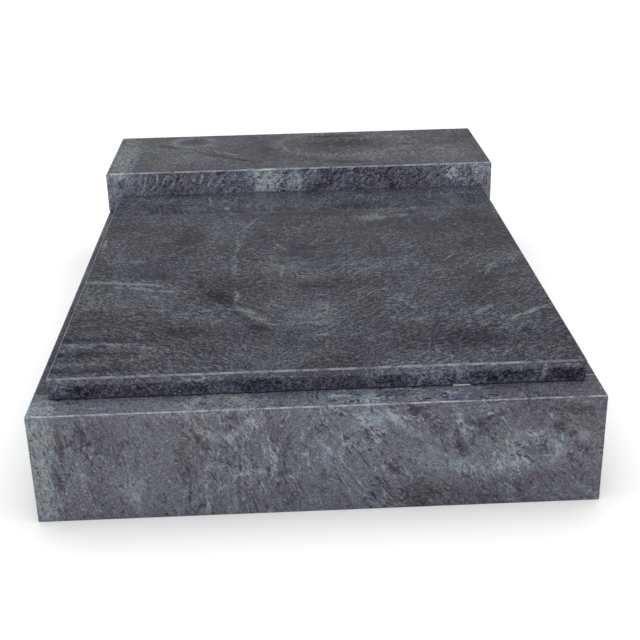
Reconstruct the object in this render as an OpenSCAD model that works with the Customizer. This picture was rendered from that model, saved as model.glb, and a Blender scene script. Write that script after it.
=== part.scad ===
// Kerb set of a granite grave memorial: four kerbs, a cover slab that lifts off,
// and a headstone base. The origin is at the middle of the footprint, on the ground.
// X runs to the right, Y from the front kerb to the rear one, Z up. Millimetres.

/* [Memorial] */
// Width across the kerbs
memorial_w = 1000; // [900:10:1200]
// Length from the front kerb's face to the rear
memorial_l = 1500; // [1300:10:2130]

/* [Kerbs] */
// Height of the kerbs
kerb_h = 210; // [190:5:300]
// Thickness of the kerbs
kerb_t = 80; // [75:1:100]
// Width of the joint between two kerbs
kerb_joint = 2; // [1:0.5:4]
// Arris along the polished top edges of the kerbs
kerb_arris = 2; // [1:0.5:6]

/* [Cover slab] */
// Thickness of the cover slab
slab_t = 40; // [30:1:60]
// Distance from the front kerb's face back to the slab
slab_front_inset = 58; // [40:1:60]
// Distance from a side kerb's face in to the slab, when the slab lies centred
slab_side_inset = 27.5; // [15:0.5:40]
// How far to the right of centre the slab is laid
slab_shift = 3.5; // [-5:0.5:5]
// Gap between the slab and the headstone base
slab_rear_gap = 2; // [1:0.5:5]
// Arris along the top edges of the slab
slab_arris = 3; // [2:0.5:8]

/* [Headstone base] */
// Depth of the base from front to back
base_d = 370; // [300:5:420]
// Thickness of the base
base_t = 100; // [75:5:150]
// Arris along the top edges of the base
base_arris = 3; // [1:0.5:6]
// Thickness of the bed under the base
bed_t = 2; // [1:0.5:4]

/* [Setting pads] */
// Thickness of the pads that the slab rests on
pad_t = 2; // [1:0.5:4]
// Length of a pad along its kerb
pad_l = 30; // [20:1:60]
// Distance of each front pad from the middle line
front_pad_x = 255; // [150:5:330]
// Pads on each side kerb
side_pads = 3; // [2:1:5]

/* [Corner brackets] */
// Length of each leg
bracket_leg = 60; // [50:1:80]
// Height of the bracket
bracket_h = 100; // [80:5:120]
// Thickness of the bracket's plate
bracket_t = 5; // [4:0.5:8]
// Distance from the inner corner to the screws
screw_offset = 38; // [34:1:42]
// Distance between the two screws of a leg
screw_pitch = 50; // [40:5:60]

/* [Base dowels] */
// Diameter of a dowel
dowel_d = 12; // [8:1:16]
// Length of a dowel
dowel_l = 120; // [80:5:120]

/* [Hidden] */
half_w = memorial_w / 2;
half_l = memorial_l / 2;
inner_x = half_w - kerb_t;               // inner faces of the side kerbs
inner_y = half_l - kerb_t;               // inner faces of the front and rear kerbs
side_kerb_l = memorial_l - kerb_t - kerb_joint;
rear_kerb_l = 2 * (inner_x - kerb_joint);
joint_arris = 1;                         // edges that meet in a joint, and sawn edges
upright_arris = 1;                       // polished upright corners
joint_recess = 2;                        // depth of a joint behind the faces

base_front = half_l - base_d;
base_z = kerb_h + bed_t;
slab_z = kerb_h + pad_t;
slab_w = memorial_w - 2 * slab_side_inset;
slab_front = -half_l + slab_front_inset;
slab_l = base_front - slab_rear_gap - slab_front;

front_bearing = kerb_t - slab_front_inset;
side_bearing = kerb_t - slab_side_inset;
pad_margin = 2;                          // front pads to the kerb's inner edge
front_pad_setback = [7, 0.5];            // left and right pad, behind the slab's face
side_pad_w = 30;
side_pad_span = 0.7 * slab_l;

screw_z = kerb_h / 2;                    // middle height of the brackets
screw_d = 8;
screw_l = 50;
screw_tip = 6;
head_flats = 13;
head_t = 5.3;
washer_d = 17;
washer_t = 1.6;
plug_d = 10;
plug_l = 50;
plug_hole_l = 55;
hole_gap = 0.2;                          // on the diameter of a filled hole
screw_hole_d = 9;
bend_r = 10;                             // outer radius of the bracket's bend

resin_wall = 2;
dowel_hole_d = dowel_d + 2 * resin_wall;
dowel_x = half_w - kerb_t / 2;
dowel_y = [base_front + 70, half_l - 70];
dowel_hole_l = dowel_l / 2 + 1;          // in the kerb, and again in the base

$fn = 48;
EPS = 0.5;                               // how far a cut runs past a face

CORNERS = [["front_left", -1, -1], ["front_right", 1, -1], ["rear_left", -1, 1], ["rear_right", 1, 1]];
SIDES = [["left", -1], ["right", 1]];
CORNER_PARTS = ["joint", "bracket", "screws", "washers", "plugs"];
SIDE_PARTS = ["kerb", "pads", "bed", "dowels", "dowel_resin"];

GRANITE = [0.36, 0.37, 0.40];
MORTAR = [0.22, 0.22, 0.24];

// Rectangle about the origin, each corner cut by its own arris, from bottom left anticlockwise
function cut_rect(w, h, c) = [
    [-w / 2 + c[0], -h / 2], [w / 2 - c[1], -h / 2],
    [w / 2, -h / 2 + c[1]], [w / 2, h / 2 - c[2]],
    [w / 2 - c[2], h / 2], [-w / 2 + c[3], h / 2],
    [-w / 2, h / 2 - c[3]], [-w / 2, -h / 2 + c[0]]
];

// Stone block standing on Z = 0. top: arrises at the front, right, back and left of its top face.
// upright: arrises of its corners, from front left anticlockwise.
module stone(size, top, upright) {
    foot = joint_arris;
    intersection() {
        linear_extrude(size.z)
            polygon(cut_rect(size.x, size.y, upright));
        translate([0, size.y / 2, size.z / 2])
            rotate([90, 0, 0])
                linear_extrude(size.y)
                    polygon(cut_rect(size.x, size.z, [foot, foot, top[1], top[3]]));
        translate([-size.x / 2, 0, size.z / 2])
            rotate([90, 0, 90])
                linear_extrude(size.x)
                    polygon(cut_rect(size.y, size.z, [foot, foot, top[2], top[0]]));
    }
}

// Puts a child drawn in a corner's own frame (vault towards +X and +Y) into that corner
module at_corner(sx, sy)
    translate([sx * inner_x, sy * inner_y, 0])
        mirror([sx > 0 ? 1 : 0, 0, 0])
            mirror([0, sy > 0 ? 1 : 0, 0])
                children();

// Screw places of one leg, with +Z out of the stone. Leg 0 lies on the front or rear kerb, leg 1 on a side kerb
module on_leg(leg)
    for (dz = [-screw_pitch / 2, screw_pitch / 2])
        if (leg == 0)
            translate([screw_offset, 0, screw_z + dz]) rotate([-90, 0, 0]) children();
        else
            translate([0, screw_offset, screw_z + dz]) rotate([0, 90, 0]) children();

module on_both_legs() {
    on_leg(0) children();
    on_leg(1) children();
}

module plug_hole()
    translate([0, 0, -plug_hole_l])
        cylinder(h = plug_hole_l + EPS, d = plug_d + hole_gap);

module tube(h, outer, bore)
    difference() {
        cylinder(h = h, d = outer);
        translate([0, 0, -EPS]) cylinder(h = h + 2 * EPS, d = bore);
    }

module at_dowels(sx)
    for (y = dowel_y)
        translate([sx * dowel_x, y, 0]) children();

module front_kerb()
    color(GRANITE)
        difference() {
            translate([0, -half_l + kerb_t / 2, 0])
                stone([memorial_w, kerb_t, kerb_h],
                      [kerb_arris, kerb_arris, joint_arris, kerb_arris],
                      [upright_arris, upright_arris, joint_arris, joint_arris]);
            for (s = SIDES)
                at_corner(s[1], -1) on_leg(0) plug_hole();
        }

module rear_kerb()
    color(GRANITE)
        difference() {
            translate([0, half_l - kerb_t / 2, 0])
                stone([rear_kerb_l, kerb_t, kerb_h],
                      [kerb_arris, joint_arris, kerb_arris, joint_arris],
                      joint_arris * [1, 1, 1, 1]);
            for (s = SIDES)
                at_corner(s[1], 1) on_leg(0) plug_hole();
        }

module side_kerb(sx)
    color(GRANITE)
        difference() {
            translate([sx * (half_w - kerb_t / 2), half_l - side_kerb_l / 2, 0])
                mirror([sx > 0 ? 1 : 0, 0, 0])
                    stone([kerb_t, side_kerb_l, kerb_h],
                          [joint_arris, kerb_arris, kerb_arris, kerb_arris],
                          [joint_arris, joint_arris, joint_arris, upright_arris]);
            for (sy = [-1, 1])
                at_corner(sx, sy) on_leg(1) plug_hole();
            at_dowels(sx)
                translate([0, 0, kerb_h - dowel_hole_l])
                    cylinder(h = dowel_hole_l + EPS, d = dowel_hole_d);
        }

module headstone_base()
    color(GRANITE)
        difference() {
            translate([0, half_l - base_d / 2, base_z])
                stone([memorial_w, base_d, base_t],
                      base_arris * [1, 1, 1, 1],
                      upright_arris * [1, 1, 1, 1]);
            for (s = SIDES)
                at_dowels(s[1])
                    translate([0, 0, base_z - EPS])
                        cylinder(h = dowel_hole_l + EPS, d = dowel_hole_d);
        }

module cover_slab()
    color(GRANITE)
        translate([slab_shift, slab_front + slab_l / 2, slab_z])
            stone([slab_w, slab_l, slab_t],
                  [slab_arris, slab_arris, upright_arris, slab_arris],
                  upright_arris * [1, 1, 1, 1]);

// Packers under the slab's front edge
module front_pads()
    color("ghostwhite")
        for (i = [0, 1]) {
            back = slab_front + front_bearing - pad_margin;
            front = slab_front + front_pad_setback[i];
            translate([(2 * i - 1) * front_pad_x - pad_l / 2, front, kerb_h])
                cube([pad_l, back - front, pad_t]);
        }

// Packers under one side of the slab
module side_pads(sx)
    color("ghostwhite")
        for (i = [0 : side_pads - 1])
            translate([sx * (half_w - kerb_t + side_bearing / 2),
                       slab_front + slab_l / 2 + (i / (side_pads - 1) - 0.5) * side_pad_span,
                       kerb_h + pad_t / 2])
                cube([side_pad_w, pad_l, pad_t], center = true);

// Bed between a side kerb and the base, pierced by the dowels
module side_bed(sx)
    color(MORTAR)
        difference() {
            translate([sx > 0 ? inner_x : -half_w + joint_recess, base_front + joint_recess, kerb_h])
                cube([kerb_t - joint_recess, base_d - 2 * joint_recess, bed_t]);
            at_dowels(sx)
                translate([0, 0, kerb_h - EPS])
                    cylinder(h = bed_t + 2 * EPS, d = dowel_hole_d);
        }

module rear_bed()
    color(MORTAR)
        translate([-inner_x + kerb_joint, inner_y, kerb_h])
            cube([rear_kerb_l, kerb_t - joint_recess, bed_t]);

// Joint of one corner. At the front it lies behind the front kerb, at the rear beside the rear kerb
module corner_joint(sx, sy) {
    size = sy < 0 ? [kerb_t - joint_recess, kerb_joint] : [kerb_joint, kerb_t - joint_recess];
    low_x = sy < 0 ? -size.x : 0;
    low_y = sy < 0 ? 0 : -size.y;
    color(MORTAR)
        at_corner(sx, sy)
            translate([low_x, low_y, 0])
                cube([size.x, size.y, kerb_h - joint_recess]);
}

// Folded steel angle in the inner corner, with two bores in each leg
module corner_bracket(sx, sy)
    color("silver")
        at_corner(sx, sy)
            difference() {
                translate([0, 0, screw_z - bracket_h / 2])
                    linear_extrude(bracket_h) {
                        translate([bend_r, 0]) square([bracket_leg - bend_r, bracket_t]);
                        translate([0, bend_r]) square([bracket_t, bracket_leg - bend_r]);
                        translate([bend_r, bend_r])
                            intersection() {
                                difference() {
                                    circle(r = bend_r);
                                    circle(r = bend_r - bracket_t);
                                }
                                translate([-bend_r, -bend_r]) square(bend_r);
                            }
                    }
                on_both_legs()
                    translate([0, 0, -EPS])
                        cylinder(h = bracket_t + 2 * EPS, d = screw_hole_d);
            }

module corner_washers(sx, sy)
    color("gainsboro")
        at_corner(sx, sy)
            on_both_legs()
                translate([0, 0, bracket_t])
                    tube(washer_t, washer_d, screw_d + 2 * hole_gap);

module corner_screws(sx, sy)
    color("lightgray")
        at_corner(sx, sy)
            on_both_legs()
                translate([0, 0, bracket_t + washer_t]) {
                    cylinder(h = head_t, d = head_flats / cos(30), $fn = 6);
                    translate([0, 0, -screw_l + screw_tip])
                        cylinder(h = screw_l - screw_tip, d = screw_d);
                    translate([0, 0, -screw_l])
                        cylinder(h = screw_tip, d1 = 1, d2 = screw_d);
                }

module corner_plugs(sx, sy)
    color("darkslategray")
        at_corner(sx, sy)
            on_both_legs()
                translate([0, 0, -plug_l])
                    tube(plug_l, plug_d, screw_d + hole_gap);

// Dowels standing on the floors of their holes in a side kerb
module side_dowels(sx)
    color("silver")
        at_dowels(sx)
            translate([0, 0, kerb_h - dowel_hole_l])
                cylinder(h = dowel_l, d = dowel_d);

module side_dowel_resin(sx)
    color("tan")
        at_dowels(sx)
            translate([0, 0, kerb_h - dowel_hole_l])
                tube(2 * dowel_hole_l + bed_t, dowel_hole_d - hole_gap, dowel_d + hole_gap);

front_kerb();
rear_kerb();
headstone_base();
cover_slab();
front_pads();
rear_bed();
for (s = SIDES) {
    side_kerb(s[1]);
    side_pads(s[1]);
    side_bed(s[1]);
    side_dowels(s[1]);
    side_dowel_resin(s[1]);
}
for (c = CORNERS) {
    corner_joint(c[1], c[2]);
    corner_bracket(c[1], c[2]);
    corner_screws(c[1], c[2]);
    corner_washers(c[1], c[2]);
    corner_plugs(c[1], c[2]);
}
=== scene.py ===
"""Looks of a polished granite grave kerb set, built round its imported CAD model."""

import math
from collections import namedtuple

import bpy
from mathutils import Matrix, Vector


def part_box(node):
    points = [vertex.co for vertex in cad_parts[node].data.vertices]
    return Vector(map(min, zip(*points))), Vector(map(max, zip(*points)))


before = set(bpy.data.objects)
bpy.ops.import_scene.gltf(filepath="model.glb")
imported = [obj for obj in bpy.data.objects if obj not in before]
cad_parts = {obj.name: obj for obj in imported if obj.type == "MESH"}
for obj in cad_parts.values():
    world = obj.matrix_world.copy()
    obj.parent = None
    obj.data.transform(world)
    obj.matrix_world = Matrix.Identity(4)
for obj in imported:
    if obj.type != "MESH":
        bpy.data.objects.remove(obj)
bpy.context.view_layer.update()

# ------------------------------------------------------------------ camera

SENSOR = 36.0                     # mm, width
LENS = 63.51                      # mm
CLIP_END = 100.0                  # m, past the corners of the floor
CAMERA_PLACE = Vector((-0.0515, -2.4606, 1.1108))
CAMERA_AZIMUTH = math.radians(-1.920)
CAMERA_ELEVATION = math.radians(23.394)
CAMERA_ROLL = math.radians(-1.268)


def make_camera():
    """Camera in front of the front kerb, looking along +Y and down."""
    data = bpy.data.cameras.new("camera")
    data.sensor_width = SENSOR
    data.lens = LENS
    data.clip_end = CLIP_END
    camera = bpy.data.objects.new("camera", data)
    bpy.context.scene.collection.objects.link(camera)
    flat = math.cos(CAMERA_ELEVATION)
    back = Vector((
        math.sin(CAMERA_AZIMUTH) * flat,
        -math.cos(CAMERA_AZIMUTH) * flat,
        math.sin(CAMERA_ELEVATION),
    ))
    right = Vector((0, 0, 1)).cross(back).normalized()
    up = back.cross(right)
    turn = Matrix((right, up, back)).transposed() @ Matrix.Rotation(CAMERA_ROLL, 3, "Z")
    camera.matrix_world = Matrix.Translation(CAMERA_PLACE) @ turn.to_4x4()
    bpy.context.scene.camera = camera


# ------------------------------------------------------------------ node helpers


class Nodes:
    """A node tree under construction: each method adds nodes and returns an output socket."""

    def __init__(self, tree):
        self.tree = tree

    def put(self, socket, value):
        """Links value to the socket, or sets the socket to it when it is a constant."""
        if isinstance(value, bpy.types.NodeSocket):
            self.tree.links.new(value, socket)
        else:
            socket.default_value = value

    def node(self, kind, inputs=(), **settings):
        """Adds a node and returns the node itself."""
        made = self.tree.nodes.new(kind)
        for key, value in settings.items():
            setattr(made, key, value)
        for key, value in dict(inputs).items():
            self.put(made.inputs[key], value)
        return made

    def math(self, operation, a, b=0.0, c=0.0):
        """Result of a Math node, which leaves out what its operation doesn't take."""
        return self.node("ShaderNodeMath", {0: a, 1: b, 2: c}, operation=operation).outputs[0]

    def vector(self, operation, a, b=(0, 0, 0)):
        made = self.node("ShaderNodeVectorMath", {0: a, 1: b}, operation=operation)
        return made.outputs["Value" if operation in ("DOT_PRODUCT", "LENGTH") else "Vector"]

    def moved(self, place, step):
        """Place moved by step, so that a pattern there is unlike one that is used already."""
        return self.vector("ADD", place, step)

    def times(self, vector, factor):
        made = self.node("ShaderNodeVectorMath", {0: vector, "Scale": factor}, operation="SCALE")
        return made.outputs["Vector"]

    def part(self, vector, axis):
        return self.node("ShaderNodeSeparateXYZ", {"Vector": vector}).outputs[axis]

    def combine(self, parts):
        """Vector of up to three parts."""
        return self.node("ShaderNodeCombineXYZ", dict(enumerate(parts))).outputs[0]

    def noise(self, place, scale, detail=2.0, rough=0.5, colour=False):
        """Noise of about scale waves to a metre."""
        inputs = {"Vector": place, "Scale": scale, "Detail": detail, "Roughness": rough}
        return self.node("ShaderNodeTexNoise", inputs).outputs["Color" if colour else "Fac"]

    def cells(self, place, scale, output="Color"):
        """Irregular cells, about scale to a metre: a colour for each, or the distance to its middle."""
        return self.node("ShaderNodeTexVoronoi", {"Vector": place, "Scale": scale}).outputs[output]

    def stretch(self, place, scale, turn=(0, 0, 0)):
        """Place scaled along each axis and then turned, in radians."""
        return self.node("ShaderNodeMapping", {"Vector": place, "Scale": scale, "Rotation": turn}).outputs[0]

    def lean(self, place, size, turn, middle=(0, 0, 0)):
        """Place counted from middle, for a pattern drawn out size times each way, and turned in degrees."""
        inputs = {
            "Vector": place,
            "Location": middle,
            "Scale": size,
            "Rotation": [math.radians(angle) for angle in turn],
        }
        return self.node("ShaderNodeMapping", inputs, vector_type="TEXTURE").outputs[0]

    def span(self, value, low, high, to_low=0.0, to_high=1.0, smooth=True):
        """Goes from to_low to to_high while value goes from low to high, and stays there outside them."""
        inputs = {"Value": value, "From Min": low, "From Max": high, "To Min": to_low, "To Max": to_high}
        kind = "SMOOTHSTEP" if smooth else "LINEAR"
        return self.node("ShaderNodeMapRange", inputs, interpolation_type=kind).outputs[0]

    def mix(self, factor, a, b, blend="MIX"):
        """Mix of two colours. A Mix node of colours takes them at its inputs 6 and 7 and gives output 2."""
        made = self.node("ShaderNodeMix", data_type="RGBA", blend_type=blend)
        for index, value in ((0, factor), (6, a), (7, b)):
            self.put(made.inputs[index], value)
        return made.outputs[2]

    def channel(self, colour, name):
        return self.node("ShaderNodeSeparateColor", {"Color": colour}).outputs[name]

    def ramp(self, value, stops):
        """Colour ramp through the (position, colour) pairs in stops. A new one already has two stops."""
        made = self.node("ShaderNodeValToRGB", {"Fac": value})
        table = made.color_ramp.elements
        for index, (position, colour) in enumerate(stops):
            stop = table[index] if index < 2 else table.new(position)
            stop.position = position
            stop.color = colour
        return made.outputs["Color"]


class Shader(Nodes):
    """A material under construction."""

    def __init__(self, name):
        self.material = bpy.data.materials.new(name)
        self.material.use_nodes = True
        super().__init__(self.material.node_tree)
        self.surface = self.tree.nodes["Principled BSDF"]

    def set(self, name, value):
        """Gives the surface a property: a constant or a pattern."""
        self.put(self.surface.inputs[name], value)

    def place(self):
        """Point of the object, in metres."""
        return self.node("ShaderNodeTexCoord").outputs["Object"]

    def normal(self):
        return self.node("ShaderNodeTexCoord").outputs["Normal"]

    def bump(self, height, distance, strength):
        """Relief of height times distance in metres, seen with that strength."""
        made = self.node("ShaderNodeBump", {"Height": height, "Distance": distance, "Strength": strength})
        self.set("Normal", made.outputs[0])


def rgb(red, green, blue):
    """Colour given as 0 to 255 display values."""
    def linear(value):
        value /= 255
        return value / 12.92 if value <= 0.04045 else ((value + 0.055) / 1.055) ** 2.4
    return (linear(red), linear(green), linear(blue), 1.0)


# ------------------------------------------------------------------ granite

FLAT, ARRIS = 0.995, 0.95         # largest part of the normal on a face, and on an arris
LIGHT_AND_SHADE_FACING = (0.6, 0.8)               # how squarely a face looks one way, from none to all of its painted light and shade
SQUARELY = (0.80, 0.90)           # the same for a sawn face
POLISH = (0.04, 0.08)             # roughness of a polished face, from the coolest to the warmest crystals
GROUND = 0.36                     # added to it on an arris,
GROUND_AND_HIGHLIGHT_ROUGHNESS = -0.20                      # less on the paler arris patches, which are partly a painted highlight,
SIDE_ARRIS = 0.45                 # and more, up to this, on arrises that run along Y or Z
SAWN = 0.55                       # added to it on a sawn face
DUSTY = 0.45                      # part of a sawn face's colour that is dust
KERF_LEAN = (0.0, 0.5, 0.78)      # rad, lie of the saw's marks
SAWN_RELIEF = 0.0004              # m
IOR, SPECULAR = 1.5, 0.4          # of polished granite

Mark = namedtuple("Mark", "at size turn tone ring")

# Marks on one face of a stone. The first two axes are those of the marks' places, face is where the face
# lies along the third, and the marks reach depth into the stone.
Figure = namedtuple("Figure", "axes face depth marks")
UPRIGHT = "XZY"                   # axes on a front face
LEVEL = "XYZ"                     # axes on a top face


def patch(at, size, turn, tone):
    """Spot or streak in the stone: middle and half lengths in metres, turn in degrees, paler by tone."""
    return Mark(at, size, turn, tone, 0.0)


def loop(at, size, turn, tone, ring=0.22):
    """Closed vein in the stone, an ellipse whose line is ring of its half lengths wide."""
    return Mark(at, size, turn, tone, ring)


class Granite(Shader):
    """Veined granite: seed moves the natural pattern, and look holds its colours and strengths.

    The grain lies one way on the left of a stone and another way on the right, and is folded in places. What
    every pattern shares is worked out first: the place bent to folds, curls or a slight drift, and the same
    drawn out along the grain.
    """

    def __init__(self, name, seed, look):
        super().__init__(name)
        self.look = look
        self.seed = seed
        self.here = self.vector("ADD", self.place(), seed)
        self.folded = self.bend(self.here, scale=3.5, detail=1.0, reach=look["fold"])
        self.curled = self.bend(self.folded, scale=14.0, detail=2.0, reach=0.030)
        self.drift = self.bend(self.here, scale=10.0, detail=1.0, reach=0.016)
        wavy = self.bend(self.place(), scale=22.0, detail=1.0, reach=0.018)
        self.wander = self.bend(wavy, scale=70.0, detail=1.0, reach=0.004)
        self.patches = self.noise(self.folded, scale=5.0, detail=3.0, rough=0.6)
        across = self.math("MULTIPLY_ADD", self.patches, 0.5, self.part(self.place(), "X"))
        self.side = self.span(across, *look["turnover"])
        self.flow = self.along(self.bend(self.drift, scale=45.0, detail=1.0, reach=0.006))
        self.veins = self.along(self.curled)
        self.crystals = self.cells(self.drift, look["grain_scale"])
        self.warm = self.warmth()

    def bend(self, at, scale, detail, reach):
        """Place pushed about by noise, over reach metres."""
        push = self.vector("SUBTRACT", self.noise(at, scale, detail, colour=True), (0.5, 0.5, 0.5))
        return self.vector("ADD", at, self.times(push, reach))

    def along(self, at):
        """Place drawn out along the grain, which lies one way on the left and another on the right."""
        near = self.vector("SUBTRACT", at, self.seed)
        left, right = [self.lean(near, size, turn) for size, turn in self.look["lie"]]
        turned = self.times(self.vector("SUBTRACT", right, left), self.side)
        return self.vector("ADD", self.vector("ADD", left, turned), self.seed)

    def ridge(self, at, scale, width):
        """Thin lines, where noise crosses its middle value."""
        off = self.math("ABSOLUTE", self.math("SUBTRACT", self.noise(at, scale, detail=3.0), 0.5))
        return self.span(off, width, 0.0)

    def add(self, tone, amount, value, middle=0.0, where=None):
        """Tone with amount of a pattern added, counted from its middle value, and only where it is told."""
        if middle:
            value = self.math("SUBTRACT", value, middle)
        if where is not None:
            value = self.math("MULTIPLY", value, where)
        return self.math("MULTIPLY_ADD", value, amount, tone)

    def warmth(self):
        """How warm each crystal is, from 0 to 1."""
        hue = self.noise(self.moved(self.drift, (6, 2, 1)), scale=28.0, detail=4.0, rough=0.85)
        hue = self.math("MULTIPLY_ADD", self.math("SUBTRACT", 0.5, self.patches), 0.5, hue)
        hue = self.math("MULTIPLY_ADD", self.channel(self.crystals, "Green"), 0.5, hue)
        return self.span(hue, 0.45, 1.05, smooth=False)

    def place_marks(self, tone, figures):
        """Tone with the marks of the figures added."""
        if not figures:
            return tone
        fray = self.math("SUBTRACT", self.noise(self.flow, scale=130.0, detail=3.0, rough=0.7), 0.5)
        rough_edge = self.math("MULTIPLY", fray, 2.6)
        slight_edge = self.math("MULTIPLY", rough_edge, 0.35)
        for figure in figures:
            at = self.combine([self.part(self.wander, axis) for axis in figure.axes])
            for mark in figure.marks:
                size = (*mark.size, figure.depth)
                local = self.lean(at, size, (0, 0, mark.turn), (*mark.at, figure.face))
                reach = self.vector("LENGTH", local)
                if mark.ring:
                    off_line = self.math("SUBTRACT", self.math("ADD", reach, slight_edge), 1.0)
                    cover = self.span(self.math("ABSOLUTE", off_line), 2 * mark.ring, 0.0)
                else:
                    cover = self.span(self.math("ADD", reach, rough_edge), 1.3, 0.3)
                tone = self.add(tone, mark.tone, cover)
        return tone

    def tone(self, figures, swirls):
        """How pale the stone is, as a place on its colour ramp. The swirls are where folding is strong."""
        look = self.look
        lively = self.place_marks(self.span(self.patches, *look["stirred"], look["calm"], 1.0), swirls)

        # soft clouds
        frayed = self.bend(self.curled, scale=60.0, detail=1.0, reach=0.010)
        clouds = self.noise(frayed, scale=8.0, detail=4.0, rough=0.55)
        tone = self.add(0.5, look["clouds"], clouds, 0.5)
        tone = self.add(tone, look["patches"], self.patches, 0.5)

        # where the stone is folded: strata, pale wisps and dark seams
        level = self.noise(self.curled, look["fold_scale"], detail=1.0)
        level = self.math("MULTIPLY", level, look["strata_count"])
        strata = self.noise(self.combine([level]), scale=1.0, detail=4.0, rough=0.75)
        tone = self.add(tone, look["strata"], strata, 0.5, lively)
        broken = self.span(self.noise(self.flow, scale=60.0), 0.42, 0.56)
        broken = self.math("MULTIPLY", broken, lively)
        wisps = self.ridge(self.veins, scale=34.0, width=0.030)
        tone = self.add(tone, look["wisps"], wisps, where=broken)
        seams = self.ridge(self.moved(self.veins, (4, 4, 4)), scale=30.0, width=0.024)
        tone = self.add(tone, -look["seams"], seams, where=broken)

        # the marks of the figures, speckled
        speckle = self.noise(self.moved(self.flow, (2, 2, 2)), scale=220.0, detail=3.0, rough=0.7)
        speckle = self.span(speckle, 0.35, 0.65, 0.3, 1.7, smooth=False)
        tone = self.math("MULTIPLY_ADD", self.place_marks(0.0, figures), speckle, tone)

        # crystals: streaks, mottle, and grains with sharp edges
        streaks = self.noise(self.flow, look["streak_scale"], rough=0.6)
        tone = self.add(tone, look["streaks"], streaks, 0.5)
        mottle = self.noise(self.drift, look["mottle_scale"], detail=3.0, rough=0.65)
        tone = self.add(tone, look["mottle"], mottle, 0.5)
        return self.add(tone, look["grain"], self.channel(self.crystals, "Red"), 0.5)

    def flecked(self, colour, tone, pepper):
        """Colour with dark flecks in clusters, many where there is pepper, and pale specks."""
        look = self.look
        cluster = self.noise(self.folded, scale=12.0, detail=3.0, rough=0.65)
        cluster = self.place_marks(self.span(cluster, 0.40, 0.58, look["scattered"], 1.0), pepper)
        cluster = self.math("MINIMUM", self.math("MAXIMUM", cluster, 0.0), 1.0)
        flecks = self.noise(self.moved(self.flow, (0, 7, 0)), look["fleck_scale"], rough=0.6)
        flecks = self.math("MULTIPLY", self.span(flecks, 0.595, 0.625), cluster)
        colour = self.mix(self.math("MULTIPLY", flecks, look["flecks"]), colour, look["fleck"])
        specks = self.noise(self.moved(self.drift, (9, 0, 0)), scale=270.0, detail=1.0)
        on_pale = self.span(tone, 0.40, 0.62, 0.25, 1.0)
        specks = self.math("MULTIPLY", self.span(specks, 0.62, 0.67), on_pale)
        return self.mix(self.math("MULTIPLY", specks, look["specks"]), colour, look["speck"])

    def cast(self, colour, normal, light_and_shade_tints):
        """Colour with painted light and shade: each face that looks one of the given ways is multiplied by
        the colour given for it.
        """
        for way, light_and_shade_tint in light_and_shade_tints:
            facing = self.span(self.vector("DOT_PRODUCT", normal, way), *LIGHT_AND_SHADE_FACING)
            colour = self.mix(1.0, colour, self.mix(facing, (1, 1, 1, 1), light_and_shade_tint), "MULTIPLY")
        return colour

    def finish(self, colour, normal, sawn):
        """Gives the stone its colour and gloss: polished faces, ground arrises with paler patches that are
        partly a painted highlight, and the sawn faces.
        """
        look = self.look
        size = self.vector("ABSOLUTE", normal)
        most = self.math("MAXIMUM", self.part(size, "X"), self.part(size, "Y"))
        arris = self.span(self.math("MAXIMUM", most, self.part(size, "Z")), FLAT, ARRIS)
        # paler patches along the arrises stand for their ground finish and partly for a painted highlight;
        # the same patches are less rough
        ground_and_highlight = self.noise(self.drift, scale=60.0, detail=3.0, rough=0.7)
        ground_and_highlight = self.math("MULTIPLY", arris, self.span(ground_and_highlight, 0.30, 0.70))
        colour = self.mix(self.math("MULTIPLY", ground_and_highlight, look["arris"]), colour, look["arris_ground_and_highlight_colour"])
        polish = self.span(self.warm, 0.0, 1.0, *POLISH, smooth=False)
        ground = self.math("MULTIPLY_ADD", ground_and_highlight, GROUND_AND_HIGHLIGHT_ROUGHNESS, GROUND)
        ground = self.math("MULTIPLY_ADD", self.part(size, "X"), SIDE_ARRIS, ground)
        rough = self.math("MULTIPLY_ADD", arris, ground, polish)
        left_sawn = 0.0
        for way in sawn:
            facing = self.span(self.vector("DOT_PRODUCT", normal, way), *SQUARELY)
            left_sawn = self.math("MAXIMUM", facing, left_sawn)
        colour = self.mix(left_sawn, colour, self.mix(DUSTY, colour, look["dust"]))
        rough = self.math("MULTIPLY_ADD", left_sawn, SAWN, rough)
        self.set("Base Color", colour)
        self.set("Roughness", rough)
        self.set("IOR", IOR)
        self.set("Specular IOR Level", SPECULAR)

        # marks of the saw blade, and pits
        slanted = self.stretch(self.place(), (1, 1, 1), KERF_LEAN)
        kerf = {"Vector": slanted, "Scale": 60.0, "Distortion": 1.5, "Detail": 1.0, "Detail Scale": 0.6}
        kerf = self.node("ShaderNodeTexWave", kerf).outputs["Fac"]
        pits = self.noise(self.here, scale=700.0)
        relief = self.math("MULTIPLY", self.math("MULTIPLY_ADD", kerf, 0.35, pits), left_sawn)
        self.bump(relief, SAWN_RELIEF, 0.8)


def granite(name, seed, look, figures=(), swirls=(), pepper=(), sawn=(), light_and_shade_tints=()):
    """Polished granite of one look.

    figures are the listed marks. swirls and pepper are figures too, for where the folding is strong
    and where flecks are many. sawn lists the directions of unpolished faces. tints lists pairs of a
    direction and a colour of painted light and shade for the faces that look that way.
    """
    s = Granite(name, seed, look)
    normal = s.normal()
    tone = s.tone(figures, swirls)
    casts = s.mix(s.warm, look["cool"], look["warm"])
    colour = s.mix(1.0, s.ramp(tone, look["ramp"]), casts, "MULTIPLY")
    colour = s.flecked(colour, tone, pepper)
    s.finish(s.cast(colour, normal, light_and_shade_tints), normal, sawn)
    return s.material


# ------------------------------------------------------------------ other materials


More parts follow.
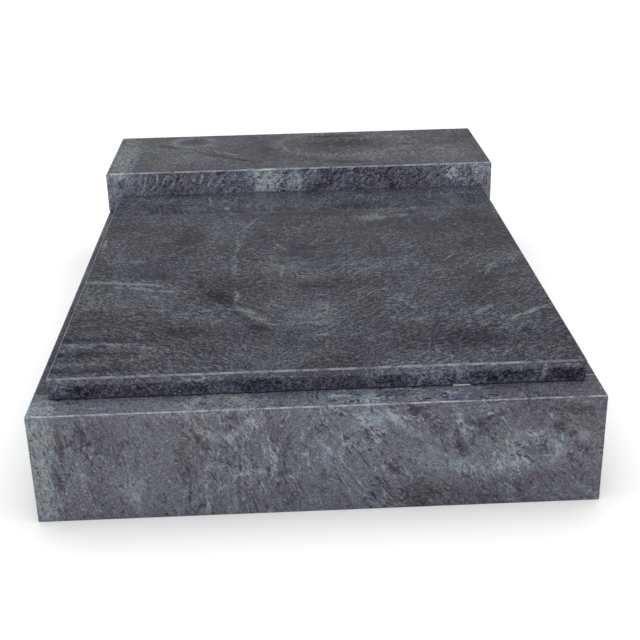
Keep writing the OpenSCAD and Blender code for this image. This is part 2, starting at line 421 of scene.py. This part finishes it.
def steel(name, brushed):
    """Stainless steel with a fine grain running along the axis named by brushed."""
    s = Shader(name)
    place = s.place()
    waves = [12.0 if axis == brushed else 900.0 for axis in "XYZ"]
    lines = s.noise(s.stretch(place, waves), scale=1.0, detail=3.0, rough=0.7)
    stains = s.noise(place, scale=45.0, detail=4.0, rough=0.6)
    colour = s.mix(s.span(lines, 0.3, 0.7), rgb(168, 168, 166), rgb(206, 206, 203))
    s.set("Base Color", s.mix(s.span(stains, 0.50, 0.75, 0.0, 0.6), colour, rgb(132, 126, 118)))
    brushing = s.span(lines, 0.2, 0.8, 0.24, 0.36)
    s.set("Roughness", s.math("MULTIPLY_ADD", s.span(stains, 0.4, 0.7), 0.16, brushing))
    s.set("Metallic", 1.0)
    s.bump(lines, 0.00003, 0.5)
    return s.material


def moulded(name, colour, scuffed, rough):
    """Moulded plastic: faint flow marks, scuffs and a fine grain."""
    s = Shader(name)
    place = s.place()
    flow = s.noise(s.stretch(place, (60.0, 60.0, 200.0)), scale=1.0)
    scuffs = s.noise(s.stretch(place, (500.0, 90.0, 500.0)), scale=1.0, detail=3.0, rough=0.7)
    scuffs = s.span(scuffs, 0.55, 0.70)
    tone = s.mix(s.span(flow, 0.3, 0.7, 0.0, 0.35), colour, scuffed)
    s.set("Base Color", s.mix(s.math("MULTIPLY", scuffs, 0.6), tone, scuffed))
    smooth = s.span(flow, 0.3, 0.7, rough, rough + 0.08)
    s.set("Roughness", s.math("MULTIPLY_ADD", scuffs, 0.25, smooth))
    s.bump(s.noise(place, scale=2500.0), 0.00004, 0.6)
    return s.material


def mortar():
    """Cement jointing mortar: grey paste with sand grains, pinholes and paler dry patches."""
    s = Shader("jointing_mortar")
    place = s.place()
    damp = s.noise(place, scale=30.0, detail=4.0, rough=0.6)
    paste = s.mix(s.span(damp, 0.35, 0.65), rgb(50, 50, 53), rgb(82, 82, 83))
    grain = s.span(s.channel(s.cells(place, 1100.0), "Red"), 0.70, 0.95)
    colour = s.mix(s.math("MULTIPLY", grain, 0.6), paste, rgb(132, 124, 112))
    pinholes = s.noise(s.moved(place, (3, 0, 0)), scale=520.0, detail=1.0)
    pinholes = s.span(pinholes, 0.68, 0.74)
    s.set("Base Color", s.mix(pinholes, colour, rgb(24, 24, 26)))
    s.set("Roughness", s.span(damp, 0.3, 0.7, 0.78, 0.94))
    sanded = s.math("MULTIPLY_ADD", grain, 0.5, s.noise(place, scale=800.0, detail=3.0))
    s.bump(s.math("SUBTRACT", sanded, pinholes), 0.0003, 0.9)
    return s.material


def resin():
    """Polyester dowel resin: cloudy tan, with trapped bubbles and stone dust."""
    s = Shader("dowel_resin")
    place = s.place()
    cloud = s.noise(place, scale=70.0, detail=4.0, rough=0.6)
    bubbles = s.span(s.cells(place, 420.0, "Distance"), 0.16, 0.10)
    dust = s.span(s.noise(s.moved(place, (0, 5, 0)), scale=900.0), 0.56, 0.66)
    colour = s.mix(s.span(cloud, 0.35, 0.65), rgb(146, 128, 98), rgb(176, 160, 128))
    colour = s.mix(s.math("MULTIPLY", dust, 0.5), colour, rgb(110, 108, 106))
    s.set("Base Color", s.mix(bubbles, colour, rgb(92, 78, 58)))
    s.set("Roughness", s.math("MULTIPLY_ADD", dust, 0.30, s.span(cloud, 0.3, 0.7, 0.28, 0.42)))
    s.bump(s.math("MULTIPLY", bubbles, -1.0), 0.0003, 0.8)
    return s.material


# ------------------------------------------------------------------ looks of the stones

# Scales are in waves or cells to a metre. Strengths are in parts of the ramp, which runs from dark to pale.
KERB = dict(
    ramp=[
        (0.0, rgb(26, 15, 18)), (0.25, rgb(52, 46, 53)), (0.42, rgb(76, 75, 86)),
        (0.55, rgb(88, 90, 99)), (0.72, rgb(105, 111, 116)), (1.0, rgb(135, 144, 146)),
    ],
    cool=(0.82, 0.98, 1.14, 1),   # casts of the coolest and the warmest crystals
    warm=(1.17, 1.01, 0.88, 1),
    fold=0.16,                    # m, how far the grain is pushed about
    lie=[((1.0, 1.0, 2.6), (0, -16, 0)), ((1.0, 1.0, 2.6), (0, -52, 0))],
    turnover=(0.10, 0.40),        # from which place to which the right grain takes over from the left
    calm=0.15,                    # how lively the folding is where it isn't stirred
    stirred=(0.46, 0.62),         # values of the patches from which and to which it grows lively
    clouds=0.30,
    patches=0.25,
    strata=1.0, strata_count=36.0, fold_scale=2.6,
    wisps=0.34,
    seams=0.42,
    streaks=0.35, streak_scale=150.0,
    mottle=0.6, mottle_scale=300.0,
    grain=0.22, grain_scale=400.0,
    flecks=0.9, fleck_scale=270.0, fleck=rgb(42, 18, 24),
    scattered=0.30,               # how many flecks lie outside the clusters
    specks=0.6, speck=rgb(142, 154, 156),
    # paler colour of ground arrises, partly a painted highlight along them, and how much of it
    arris=0.7, arris_ground_and_highlight_colour=rgb(160, 170, 174),
    dust=rgb(150, 150, 152),      # on sawn faces
)
SIDE_KERB = dict(
    KERB,
    lie=[((1.0, 1.0, 2.6), (24, 0, 0)), ((1.0, 1.0, 2.6), (-48, 0, 0))],
    calm=0.45,
    stirred=(0.40, 0.56),
    clouds=0.60,
    patches=0.55,
    wisps=0.42,
    scattered=0.40,
)
REAR_KERB = dict(SIDE_KERB, lie=KERB["lie"])
SLAB = dict(
    KERB,
    ramp=[
        (0.0, rgb(14, 11, 18)), (0.25, rgb(38, 37, 45)), (0.42, rgb(52, 53, 62)),
        (0.55, rgb(62, 63, 71)), (0.72, rgb(76, 78, 84)), (1.0, rgb(105, 112, 117)),
    ],
    cool=(0.86, 0.99, 1.10, 1),
    warm=(1.20, 1.02, 0.86, 1),
    fold=0.14,
    lie=[((2.2, 1.0, 1.0), (0, 0, -38)), ((2.2, 1.0, 1.0), (0, 0, 32))],
    calm=0.3,
    clouds=0.52,
    patches=0.50,
    strata=0.8, strata_count=30.0, fold_scale=2.0,
    seams=0.30,
    streaks=1.45, streak_scale=180.0,
    mottle=1.5, mottle_scale=290.0,
    grain=0.36, grain_scale=380.0,
    flecks=0.6, fleck_scale=240.0, fleck=rgb(20, 14, 18),
    scattered=0.2,
    specks=0.3, speck=rgb(108, 118, 128),
    # paler ground arrises, partly a painted highlight
    arris_ground_and_highlight_colour=rgb(130, 138, 144),
)
BASE = dict(
    KERB,
    ramp=[
        (0.0, rgb(16, 9, 14)), (0.25, rgb(52, 48, 58)), (0.42, rgb(82, 82, 94)),
        (0.55, rgb(98, 100, 111)), (0.72, rgb(121, 127, 133)), (1.0, rgb(162, 170, 169)),
    ],
    fold=0.14,
    lie=[((1.0, 1.6, 2.6), (0, 28, 0)), ((1.0, 1.6, 2.4), (0, 50, 0))],
    turnover=(-0.05, 0.25),
    calm=0.3,
    patches=0.2,
    strata=0.8,
    wisps=0.24,
    seams=0.3,
    streaks=0.8,
    mottle=1.0, mottle_scale=280.0,
    grain=0.26, grain_scale=340.0,
    flecks=1.0, fleck_scale=250.0, fleck=rgb(22, 12, 18),
    scattered=0.25,
    specks=0.3, speck=rgb(164, 170, 172),
    # less of the paler ground arris, which is partly a painted highlight
    arris=0.45,
)

# ------------------------------------------------------------------ marks of the stones

# Places are in metres: across and up on a front face, across and back on a top face.

KERB_FRONT = [
    # pale areas at the left end
    patch((-0.485, 0.100), (0.035, 0.150), 0, 0.26), patch((-0.425, 0.115), (0.030, 0.030), 0, 0.10),
    patch((-0.330, 0.060), (0.032, 0.032), 0, 0.15), patch((-0.322, 0.018), (0.012, 0.025), 0, 0.15),
    # closed vein left of the middle, and the veins under it
    loop((-0.170, 0.200), (0.052, 0.042), 0, 0.22), patch((-0.105, 0.183), (0.032, 0.010), 45, 0.22),
    patch((-0.092, 0.125), (0.012, 0.040), 10, 0.20), patch((-0.115, 0.085), (0.034, 0.009), -8, 0.18),
    patch((-0.198, 0.030), (0.007, 0.036), 5, 0.24), patch((-0.150, 0.022), (0.010, 0.030), -5, 0.16),
    patch((-0.190, 0.098), (0.022, 0.008), 10, 0.15),
    # pale wisps and a closed vein on the right
    patch((0.014, 0.130), (0.030, 0.005), -40, 0.24), patch((0.100, 0.188), (0.050, 0.018), -12, 0.20),
    patch((0.145, 0.162), (0.034, 0.012), -35, 0.18), patch((0.220, 0.092), (0.065, 0.020), -12, 0.15),
    patch((0.310, 0.078), (0.070, 0.018), 6, 0.15), loop((0.378, 0.108), (0.046, 0.034), 0, 0.12),
    patch((0.455, 0.130), (0.035, 0.010), 15, 0.18), patch((0.246, 0.160), (0.006, 0.038), 22, 0.24),
    patch((0.290, 0.195), (0.020, 0.014), 0, 0.15), patch((0.420, 0.030), (0.070, 0.025), 0, 0.08),
    patch((0.376, 0.144), (0.036, 0.006), 0, 0.16),
    # dark seams and spots, from left to right
    patch((-0.455, 0.085), (0.009, 0.032), 0, -0.34), patch((-0.446, 0.150), (0.005, 0.050), 4, -0.22),
    patch((-0.410, 0.176), (0.008, 0.034), 12, -0.22), patch((-0.380, 0.150), (0.050, 0.050), 0, -0.07),
    patch((-0.214, 0.165), (0.007, 0.034), 30, -0.34), patch((-0.236, 0.100), (0.014, 0.060), 8, -0.12),
    patch((-0.058, 0.120), (0.008, 0.050), -4, -0.16), patch((-0.066, 0.085), (0.024, 0.004), 0, -0.18),
    patch((-0.060, 0.030), (0.012, 0.030), 15, -0.18), patch((0.170, 0.190), (0.024, 0.010), -40, -0.34),
    patch((0.204, 0.160), (0.014, 0.030), 20, -0.16), patch((0.250, 0.120), (0.012, 0.024), 10, -0.32),
    patch((0.284, 0.156), (0.026, 0.016), -30, -0.26), patch((0.305, 0.130), (0.006, 0.012), 0, -0.28),
    patch((0.376, 0.108), (0.028, 0.022), 0, -0.12), patch((0.420, 0.150), (0.010, 0.012), 0, -0.28),
    patch((0.445, 0.190), (0.055, 0.014), -5, -0.18),
    # wide dark clouds at the bottom and the right
    patch((0.160, 0.030), (0.065, 0.024), 0, -0.14), patch((0.330, 0.020), (0.180, 0.040), 0, -0.13),
    patch((0.380, 0.170), (0.120, 0.050), 0, -0.10),
]

KERB_TOP = [
    patch((0.045, -0.714), (0.022, 0.005), 0, 0.50), patch((0.090, -0.722), (0.016, 0.022), 0, 0.24),
    patch((0.130, -0.712), (0.034, 0.009), -8, -0.20), patch((-0.485, -0.720), (0.030, 0.040), 0, 0.16),
    patch((-0.250, -0.722), (0.200, 0.050), 0, 0.10), patch((0.240, -0.712), (0.040, 0.016), 0, 0.08),
]

KERB_SWIRLS = [
    patch((-0.150, 0.110), (0.110, 0.130), 0, 0.9), patch((0.180, 0.190), (0.140, 0.050), 0, 0.8),
    patch((0.380, 0.120), (0.110, 0.070), 0, 0.9), patch((-0.420, 0.120), (0.050, 0.120), 0, 0.5),
]

KERB_PEPPER = [
    # many flecks
    patch((-0.400, 0.150), (0.045, 0.055), 0, 0.9), patch((-0.450, 0.070), (0.025, 0.075), 0, 0.9),
    patch((-0.325, 0.150), (0.020, 0.032), 0, 0.6), patch((-0.208, 0.160), (0.020, 0.036), 30, 0.9),
    patch((-0.226, 0.090), (0.020, 0.055), 0, 0.7), patch((-0.100, 0.070), (0.060, 0.075), 0, 0.8),
    patch((0.170, 0.035), (0.070, 0.028), -10, 0.9), patch((0.240, 0.165), (0.110, 0.030), -20, 0.8),
    patch((0.330, 0.050), (0.110, 0.030), 0, 0.6), patch((0.420, 0.185), (0.080, 0.022), 0, 0.8),
    # hardly any
    patch((-0.278, 0.120), (0.030, 0.100), 0, -0.8), patch((0.020, 0.090), (0.050, 0.110), 0, -0.8),
]

SLAB_TOP = [
    # two pale streaks near the left edge
    patch((-0.385, -0.250), (0.110, 0.011), -12, 0.48), patch((-0.325, -0.292), (0.085, 0.008), -14, 0.42),
    # closed vein round a dark band at the front left corner, between two more bands
    loop((-0.440, -0.596), (0.150, 0.044), 0, 0.27, 0.10), patch((-0.440, -0.598), (0.095, 0.014), 0, -0.30),
    patch((-0.430, -0.535), (0.120, 0.014), 0, -0.26), patch((-0.420, -0.665), (0.110, 0.012), 0, -0.20),
    # long hair vein left of the middle
    patch((-0.150, -0.340), (0.004, 0.060), 0, 0.32), patch((-0.118, -0.435), (0.013, 0.070), 38, 0.34),
    patch((-0.155, -0.120), (0.004, 0.170), 0, 0.30), patch((-0.125, 0.120), (0.004, 0.070), -22, 0.35),
    # short pale streaks and spots on the left
    patch((-0.235, 0.310), (0.003, 0.036), 0, 0.60), patch((-0.186, 0.246), (0.012, 0.013), 0, 0.50),
    patch((-0.370, -0.120), (0.022, 0.005), 0, 0.50), patch((-0.275, -0.050), (0.005, 0.022), -30, 0.40),
    patch((-0.460, 0.000), (0.004, 0.040), 0, 0.50),
    # the same in the middle and on the right
    patch((-0.058, -0.045), (0.005, 0.038), 25, 0.40), patch((0.170, 0.140), (0.050, 0.030), 0, 0.40),
    patch((0.240, 0.150), (0.024, 0.012), 0, 0.30), patch((0.310, -0.155), (0.003, 0.030), -25, 0.50),
    patch((0.345, -0.190), (0.004, 0.050), -35, 0.40), patch((0.385, -0.230), (0.005, 0.042), -25, 0.40),
    patch((0.430, -0.462), (0.060, 0.007), 34, 0.50), patch((0.335, -0.450), (0.040, 0.006), 40, 0.40),
    patch((-0.055, -0.210), (0.005, 0.032), 0, 0.40), patch((0.020, -0.545), (0.013, 0.009), 0, 0.50),
    # dark knots beside the hair vein
    patch((-0.176, -0.352), (0.020, 0.052), 28, -0.50), patch((-0.105, -0.505), (0.034, 0.012), -32, -0.40),
    patch((-0.222, -0.270), (0.010, 0.034), 15, -0.27),
    # dark clouds
    patch((-0.260, 0.040), (0.040, 0.080), 0, -0.22), patch((-0.270, -0.060), (0.024, 0.022), 0, -0.20),
    patch((-0.240, -0.510), (0.040, 0.024), 0, -0.26), patch((0.045, -0.135), (0.055, 0.034), 0, -0.20),
    patch((-0.010, -0.080), (0.030, 0.055), 0, -0.22), patch((0.010, -0.290), (0.036, 0.024), 0, -0.24),
    patch((0.320, -0.580), (0.150, 0.050), 0, -0.24), patch((0.350, 0.120), (0.120, 0.070), 0, -0.20),
    patch((0.030, 0.190), (0.100, 0.030), 0, -0.14),
    # wide pale clouds
    patch((0.000, -0.440), (0.110, 0.070), 20, 0.15), patch((-0.380, -0.380), (0.110, 0.070), 0, 0.12),
    patch((-0.020, -0.200), (0.160, 0.100), 0, 0.10),
]

SLAB_FRONT = [
    # pale
    patch((-0.450, 0.236), (0.022, 0.014), 0, 0.18), patch((-0.218, 0.240), (0.036, 0.0025), 4, 0.40),
    patch((-0.030, 0.232), (0.008, 0.010), 0, 0.20), patch((0.090, 0.232), (0.014, 0.018), 0, 0.26),
    patch((0.220, 0.230), (0.030, 0.012), 0, 0.16), patch((0.400, 0.231), (0.006, 0.012), 0, 0.36),
    patch((0.446, 0.244), (0.020, 0.006), 0, 0.30),
    # dark
    patch((-0.400, 0.226), (0.050, 0.010), 0, -0.26), patch((-0.210, 0.224), (0.040, 0.008), 0, -0.28),
    patch((-0.110, 0.230), (0.060, 0.014), 0, -0.18), patch((0.145, 0.228), (0.040, 0.012), 0, -0.26),
    patch((0.320, 0.228), (0.060, 0.012), 0, -0.28), patch((0.440, 0.226), (0.030, 0.012), 0, -0.28),
]

BASE_TOP = [
    # painted reflection: a pale band along the left end, where the surroundings mirrored in the polished top
    # are painted as paler stone
    patch((-0.475, 0.565), (0.045, 0.260), 0, 0.30),
    # two closed veins with dark eyes
    loop((0.120, 0.620), (0.180, 0.120), 0, 0.16, 0.10), patch((0.150, 0.625), (0.085, 0.040), 0, -0.30),
    patch((0.100, 0.700), (0.070, 0.018), 0, -0.26), loop((-0.290, 0.680), (0.052, 0.048), 0, 0.16),
    patch((-0.290, 0.680), (0.034, 0.034), 0, -0.20),
    # slanting streaks on the left
    patch((-0.360, 0.635), (0.045, 0.009), -35, -0.30), patch((-0.225, 0.530), (0.085, 0.011), -40, -0.24),
    patch((-0.150, 0.475), (0.050, 0.006), -38, -0.30), patch((-0.190, 0.545), (0.060, 0.007), -40, 0.24),
    # thin pale vein in the middle, and dark spots on the right
    patch((-0.040, 0.600), (0.007, 0.065), 15, 0.16), patch((0.050, 0.625), (0.040, 0.014), 0, -0.14),
    patch((0.300, 0.590), (0.022, 0.012), 0, -0.26), patch((0.330, 0.655), (0.024, 0.010), 0, -0.24),
    patch((0.400, 0.595), (0.055, 0.012), 0, -0.16), patch((0.460, 0.655), (0.050, 0.007), 0, -0.18),
    # wide clouds
    patch((-0.320, 0.560), (0.120, 0.120), 0, 0.12), patch((0.400, 0.500), (0.110, 0.100), 0, 0.14),
    patch((0.000, 0.570), (0.200, 0.100), 0, -0.06), patch((0.200, 0.475), (0.110, 0.032), 0, 0.12),
    patch((0.120, 0.430), (0.080, 0.014), -8, -0.18),
]

BASE_FRONT = [
    # pale areas
    patch((-0.090, 0.282), (0.046, 0.040), 0, 0.40), patch((-0.010, 0.280), (0.034, 0.030), 0, 0.28),
    patch((0.400, 0.284), (0.026, 0.026), 0, 0.34), patch((0.430, 0.270), (0.014, 0.014), 0, 0.16),
    # dark areas
    patch((0.170, 0.280), (0.160, 0.060), 0, -0.10), patch((0.060, 0.270), (0.050, 0.016), 8, -0.14),
]

# nine short pale streaks side by side, along the left half of the base's front
STREAK_PITCH = 0.024
BASE_STREAKS = [
    patch((-0.400 + STREAK_PITCH * k, 0.288 - 0.006 * (k % 2)), (0.020, 0.004), 62, 0.22) for k in range(9)
]

BASE_PEPPER = [
    # many flecks
    patch((-0.070, 0.275), (0.080, 0.045), 0, 0.9), patch((0.420, 0.280), (0.060, 0.040), 0, 0.9),
    patch((0.200, 0.280), (0.150, 0.050), 0, 0.5),
    # hardly any
    patch((-0.380, 0.280), (0.100, 0.050), 0, -0.5),
]

# ------------------------------------------------------------------ dressing

LEFT, RIGHT = (-1, 0, 0), (1, 0, 0)
FRONT, BACK = (0, -1, 0), (0, 1, 0)
UP, DOWN = (0, 0, 1), (0, 0, -1)


def on_front(node, depth, marks):
    """Figure on the front face of a node."""
    low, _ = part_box(node)
    return Figure(UPRIGHT, low[1], depth, marks)


def on_top(node, depth, marks):
    """Figure on the top face of a node."""
    _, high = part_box(node)
    return Figure(LEVEL, high[2], depth, marks)


def dress(node, material):
    """Gives a CAD node one material."""
    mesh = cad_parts[node].data
    mesh.materials.clear()
    mesh.materials.append(material)


def dress_stones():
    """Each stone has its own pattern. A stone is sawn where it is hidden: inside the set and underneath."""
    dress("front_kerb", granite(
        "front_kerb_granite", (0, 0, 0), KERB,
        figures=[on_front("front_kerb", 0.060, KERB_FRONT), on_top("front_kerb", 0.020, KERB_TOP)],
        swirls=[on_front("front_kerb", 0.300, KERB_SWIRLS)],
        pepper=[on_front("front_kerb", 0.100, KERB_PEPPER)],
        sawn=[BACK, DOWN],
    ))
    dress("left_kerb", granite(
        # painted shade: the top of the left kerb is darkened to about two thirds
        "left_kerb_granite", (3, 1, 0), SIDE_KERB, sawn=[RIGHT, DOWN], light_and_shade_tints=[(UP, (0.66, 0.66, 0.68, 1))]
    ))
    dress("right_kerb", granite("right_kerb_granite", (1, 5, 2), SIDE_KERB, sawn=[LEFT, DOWN]))
    dress("rear_kerb", granite("rear_kerb_granite", (7, 2, 1), REAR_KERB, sawn=[FRONT, DOWN]))
    dress("cover_slab", granite(
        "cover_slab_granite", (2, 8, 3), SLAB,
        figures=[on_top("cover_slab", 0.050, SLAB_TOP), on_front("cover_slab", 0.020, SLAB_FRONT)],
        sawn=[DOWN],
        # painted reflection: the slab's front face is lightened and made bluer
        light_and_shade_tints=[(FRONT, (1.24, 1.24, 1.36, 1))],
    ))
    dress("headstone_base", granite(
        "headstone_base_granite", (4, 3, 6), BASE,
        figures=[
            on_top("headstone_base", 0.030, BASE_TOP),
            on_front("headstone_base", 0.020, BASE_FRONT + BASE_STREAKS),
        ],
        pepper=[on_front("headstone_base", 0.020, BASE_PEPPER)],
        sawn=[DOWN],
        # painted shade: the base's top is darkened to about 0.57; painted reflection: its front is lightened
        # a little
        light_and_shade_tints=[(UP, (0.57, 0.545, 0.52, 1)), (FRONT, (1.15, 1.15, 1.16, 1))],
    ))


def dress_fixings():
    """The last word of a fixing's name says what it is, and so its material."""
    looks = {
        "joint": mortar(),
        "pads": moulded("packer_plastic", rgb(228, 231, 231), rgb(190, 192, 190), 0.34),
        "bracket": steel("bracket_steel", "X"),
        "screws": steel("screw_steel", "Y"),
        "washers": steel("washer_steel", "Z"),
        "dowels": steel("dowel_steel", "Z"),
        "plugs": moulded("nylon", rgb(120, 124, 128), rgb(150, 153, 156), 0.42),
        "resin": resin(),
    }
    looks["bed"] = looks["joint"]
    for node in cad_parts:
        kind = node.split("_")[-1]
        if kind in looks:
            dress(node, looks[kind])


# ------------------------------------------------------------------ studio

SKY = 0.2                         # radiance overhead
HORIZON = 1.1                     # radiance of the surroundings at the horizon
DIMMING = (0.02, 0.16)            # rise of the line of sight, to its length, over which they dim
DAYLIGHT = (0.96, 0.98, 1.0, 1)   # colour of the surroundings
WHITE = (1, 1, 1, 1)
BLACK = (0, 0, 0, 1)
PAPER = (0.86, 0.86, 0.86, 1)
FLOOR_SIDE = 120.0                # m
FLOOR_GLOW = 0.9                  # radiance that the floor gives by itself far from the object
GLOW_REACH = (1.5, 8.0)           # m from the middle, where the glow starts and where it is full
SHEET_FADES = 0.45                # part of its half length from which a light sheet fades


def sheet(name, size, material):
    """Flat rectangle about the origin, which isn't part of the object."""
    x, y = [side / 2 for side in size]
    data = bpy.data.meshes.new(name)
    data.from_pydata([(-x, -y, 0), (x, -y, 0), (x, y, 0), (-x, y, 0)], [], [(0, 1, 2, 3)])
    data.materials.append(material)
    made = bpy.data.objects.new(name, data)
    bpy.context.scene.collection.objects.link(made)
    return made


def hang(lamp, place, aim):
    """Puts a lamp at place, facing aim."""
    lamp.location = place
    lamp.rotation_mode = "QUATERNION"
    lamp.rotation_quaternion = (Vector(aim) - Vector(place)).to_track_quat("-Z", "Y")


def make_floor():
    """Pale matt paper, which glows by itself far out, so that it has no end in any view."""
    s = Shader("floor_paper")
    s.set("Base Color", PAPER)
    s.set("Roughness", 0.9)
    s.set("Specular IOR Level", 0.0)
    s.set("Emission Color", WHITE)
    away = s.vector("LENGTH", s.place())
    s.set("Emission Strength", s.span(away, *GLOW_REACH, 0.0, FLOOR_GLOW))
    sheet("floor", (FLOOR_SIDE, FLOOR_SIDE), s.material)


def make_world():
    """Surroundings that are white at the horizon and dim overhead."""
    world = bpy.data.worlds.new("studio")
    world.use_nodes = True
    s = Nodes(world.node_tree)
    background = s.tree.nodes["Background"].inputs
    height = s.part(s.node("ShaderNodeTexCoord").outputs["Generated"], "Z")
    s.put(background["Color"], DAYLIGHT)
    s.put(background["Strength"], s.span(height, *DIMMING, HORIZON, SKY, smooth=False))
    bpy.context.scene.world = world


def softbox(name, place, size, radiance, aim):
    """Rectangular soft light, as bright as radiance, that polished stone doesn't mirror."""
    data = bpy.data.lights.new(name, "AREA")
    data.shape = "RECTANGLE"
    data.size, data.size_y = size
    data.energy = radiance * math.pi * size[0] * size[1]
    lamp = bpy.data.objects.new(name, data)
    lamp.visible_glossy = False
    bpy.context.scene.collection.objects.link(lamp)
    hang(lamp, place, aim)


def light_sheet(name, place, size, radiance, aim):
    """Sheet of light, as bright as radiance in its middle and as the sky at its edges."""
    s = Shader(name)
    inside = 1.0
    for axis, side in zip("XY", size):
        away = s.math("ABSOLUTE", s.part(s.place(), axis))
        inside = s.math("MULTIPLY", s.span(away, side / 2, SHEET_FADES * side / 2), inside)
    s.set("Base Color", BLACK)
    s.set("Specular IOR Level", 0.0)
    s.set("Emission Color", WHITE)
    s.set("Emission Strength", s.math("MULTIPLY_ADD", inside, radiance - SKY, SKY))
    hang(sheet(name, size, s.material), place, aim)


make_camera()
dress_stones()
dress_fixings()
make_floor()
make_world()
light_sheet("ceiling", place=(0.0, 0.3, 4.2), size=(13.0, 12.0), radiance=2.1, aim=(0.0, 0.3, 0.0))
softbox("front", place=(0.0, -6.5, 3.6), size=(8.0, 3.0), radiance=2.0, aim=(0.0, 0.0, 0.2))
bpy.context.scene.view_settings.view_transform = "Standard"
